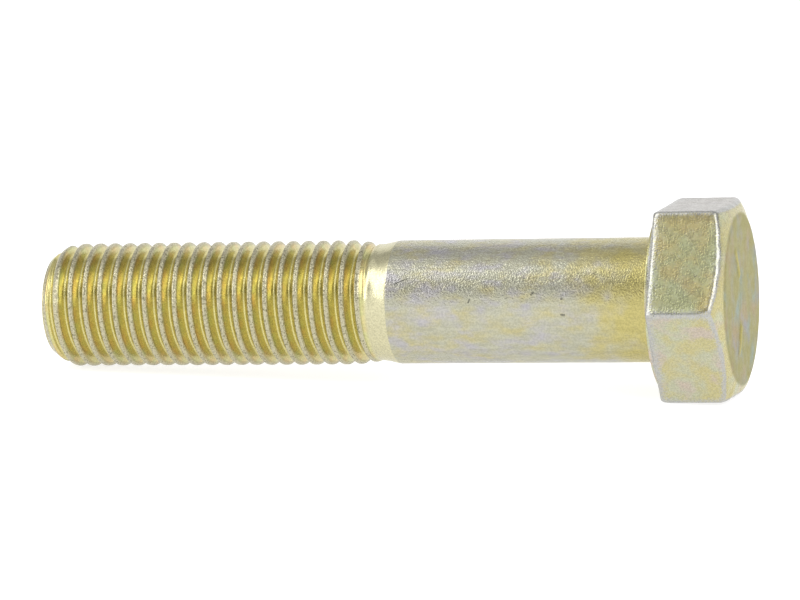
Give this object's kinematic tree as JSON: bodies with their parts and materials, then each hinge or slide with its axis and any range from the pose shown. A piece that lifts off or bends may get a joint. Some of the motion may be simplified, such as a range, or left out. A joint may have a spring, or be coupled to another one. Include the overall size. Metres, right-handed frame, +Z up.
{
  "type": "hex bolt",
  "caption": "Hexagon head bolt with a plain shank, a necked shoulder and a coarse right-hand metric thread, yellow-zinc plated steel.",
  "frame": {"origin": "centre of the bearing face under the head, on the bolt's axis", "axes": "+X along the bolt's axis towards the head's top face, -X towards the tip; +Z up through one flat of the hexagon; two corners of the hexagon point along +Y and -Y"},
  "size_m": [0.1126, 0.0342, 0.0296],
  "materials": {
    "yellow_zinc": "yellow chromate zinc plating, satin, with worn grey edges"
  },
  "bodies": {
    "root": {"hex_bolt": "yellow_zinc"}
  },
  "joints": []
}
